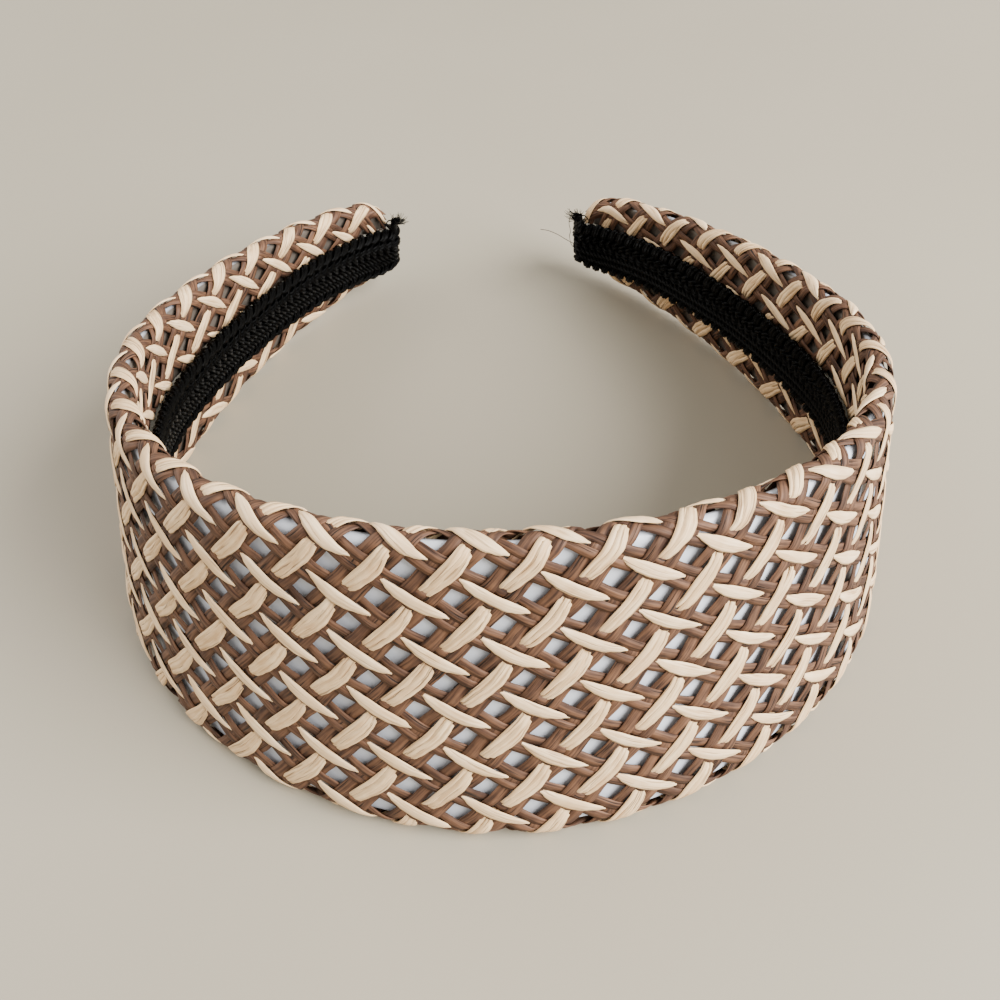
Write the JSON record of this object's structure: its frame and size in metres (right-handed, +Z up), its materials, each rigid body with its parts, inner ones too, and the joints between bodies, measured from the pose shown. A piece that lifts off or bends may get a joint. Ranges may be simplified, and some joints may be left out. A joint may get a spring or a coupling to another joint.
{
  "type": "hair headband",
  "caption": "Wide stiff hair headband: a springy plastic core wrapped in open woven straw cloth, lined with a braided ribbon that folds round both tips.",
  "frame": {"origin": "centre of the object's box on the surface that it rests on, at the bottom of the lower rim", "axes": "+Z up with the band lying on its lower rim, +Y from the crown of the band to its two tips, +X across the band from arm to arm"},
  "size_m": [0.1444, 0.1442, 0.0564],
  "materials": {
    "white_plastic": "smooth, slightly cool white moulded plastic",
    "woven_straw": "open weave of cream and brown straw strands, matt",
    "cream_straw": "flat natural straw strand with fine fibres, satin",
    "brown_straw": "flat brown straw strand with fine fibres, satin",
    "black_braid": "plaited black synthetic cord, soft sheen",
    "clear_glue": "set hot-melt glue"
  },
  "bodies": {
    "root": {"core_band": "white_plastic", "woven_cover": "woven_straw", "braid_trim": "black_braid", "glue_line_upper": "clear_glue", "glue_line_lower": "clear_glue"}
  },
  "joints": []
}
